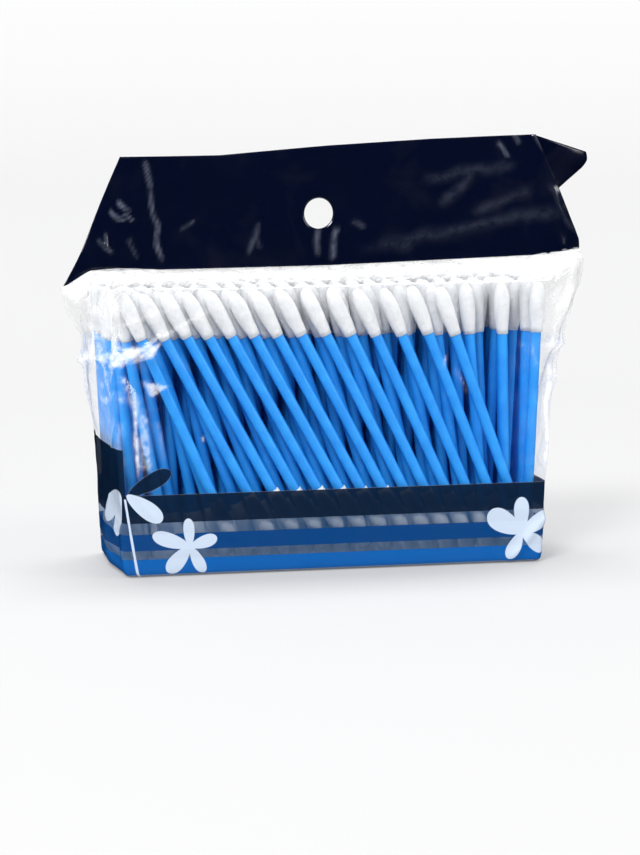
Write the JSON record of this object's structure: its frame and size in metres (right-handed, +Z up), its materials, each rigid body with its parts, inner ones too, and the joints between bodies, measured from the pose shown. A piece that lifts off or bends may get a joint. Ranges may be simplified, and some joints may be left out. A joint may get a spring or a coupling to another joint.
{
  "type": "cotton bud bag",
  "caption": "Clear film bag packed with upright cotton buds, blue plastic sticks with cotton at both ends, under a flat opaque header with ears and a round hang hole.",
  "frame": {"origin": "middle of the flat base that the pack stands on", "axes": "+Z up, +X along the front panel to the right, -Y out of the front panel"},
  "size_m": [0.1412, 0.0406, 0.109],
  "materials": {
    "clear_film": "clear glossy film",
    "printed_film": "glossy film printed an opaque dark blue",
    "blue_plastic": "satin",
    "cotton": "soft wound lint"
  },
  "bodies": {
    "root": {"film_bag": "clear_film", "header": "printed_film", "row_1_sticks": "blue_plastic", "row_1_lower_tips": "cotton", "row_1_upper_tips": "cotton", "row_2_sticks": "blue_plastic", "row_2_lower_tips": "cotton", "row_2_upper_tips": "cotton", "row_3_sticks": "blue_plastic", "row_3_lower_tips": "cotton", "row_3_upper_tips": "cotton", "row_4_sticks": "blue_plastic", "row_4_lower_tips": "cotton", "row_4_upper_tips": "cotton", "row_5_sticks": "blue_plastic", "row_5_lower_tips": "cotton", "row_5_upper_tips": "cotton", "row_6_sticks": "blue_plastic", "row_6_lower_tips": "cotton", "row_6_upper_tips": "cotton", "row_7_sticks": "blue_plastic", "row_7_lower_tips": "cotton", "row_7_upper_tips": "cotton", "row_8_sticks": "blue_plastic", "row_8_lower_tips": "cotton", "row_8_upper_tips": "cotton", "row_9_sticks": "blue_plastic", "row_9_lower_tips": "cotton", "row_9_upper_tips": "cotton"}
  },
  "joints": []
}
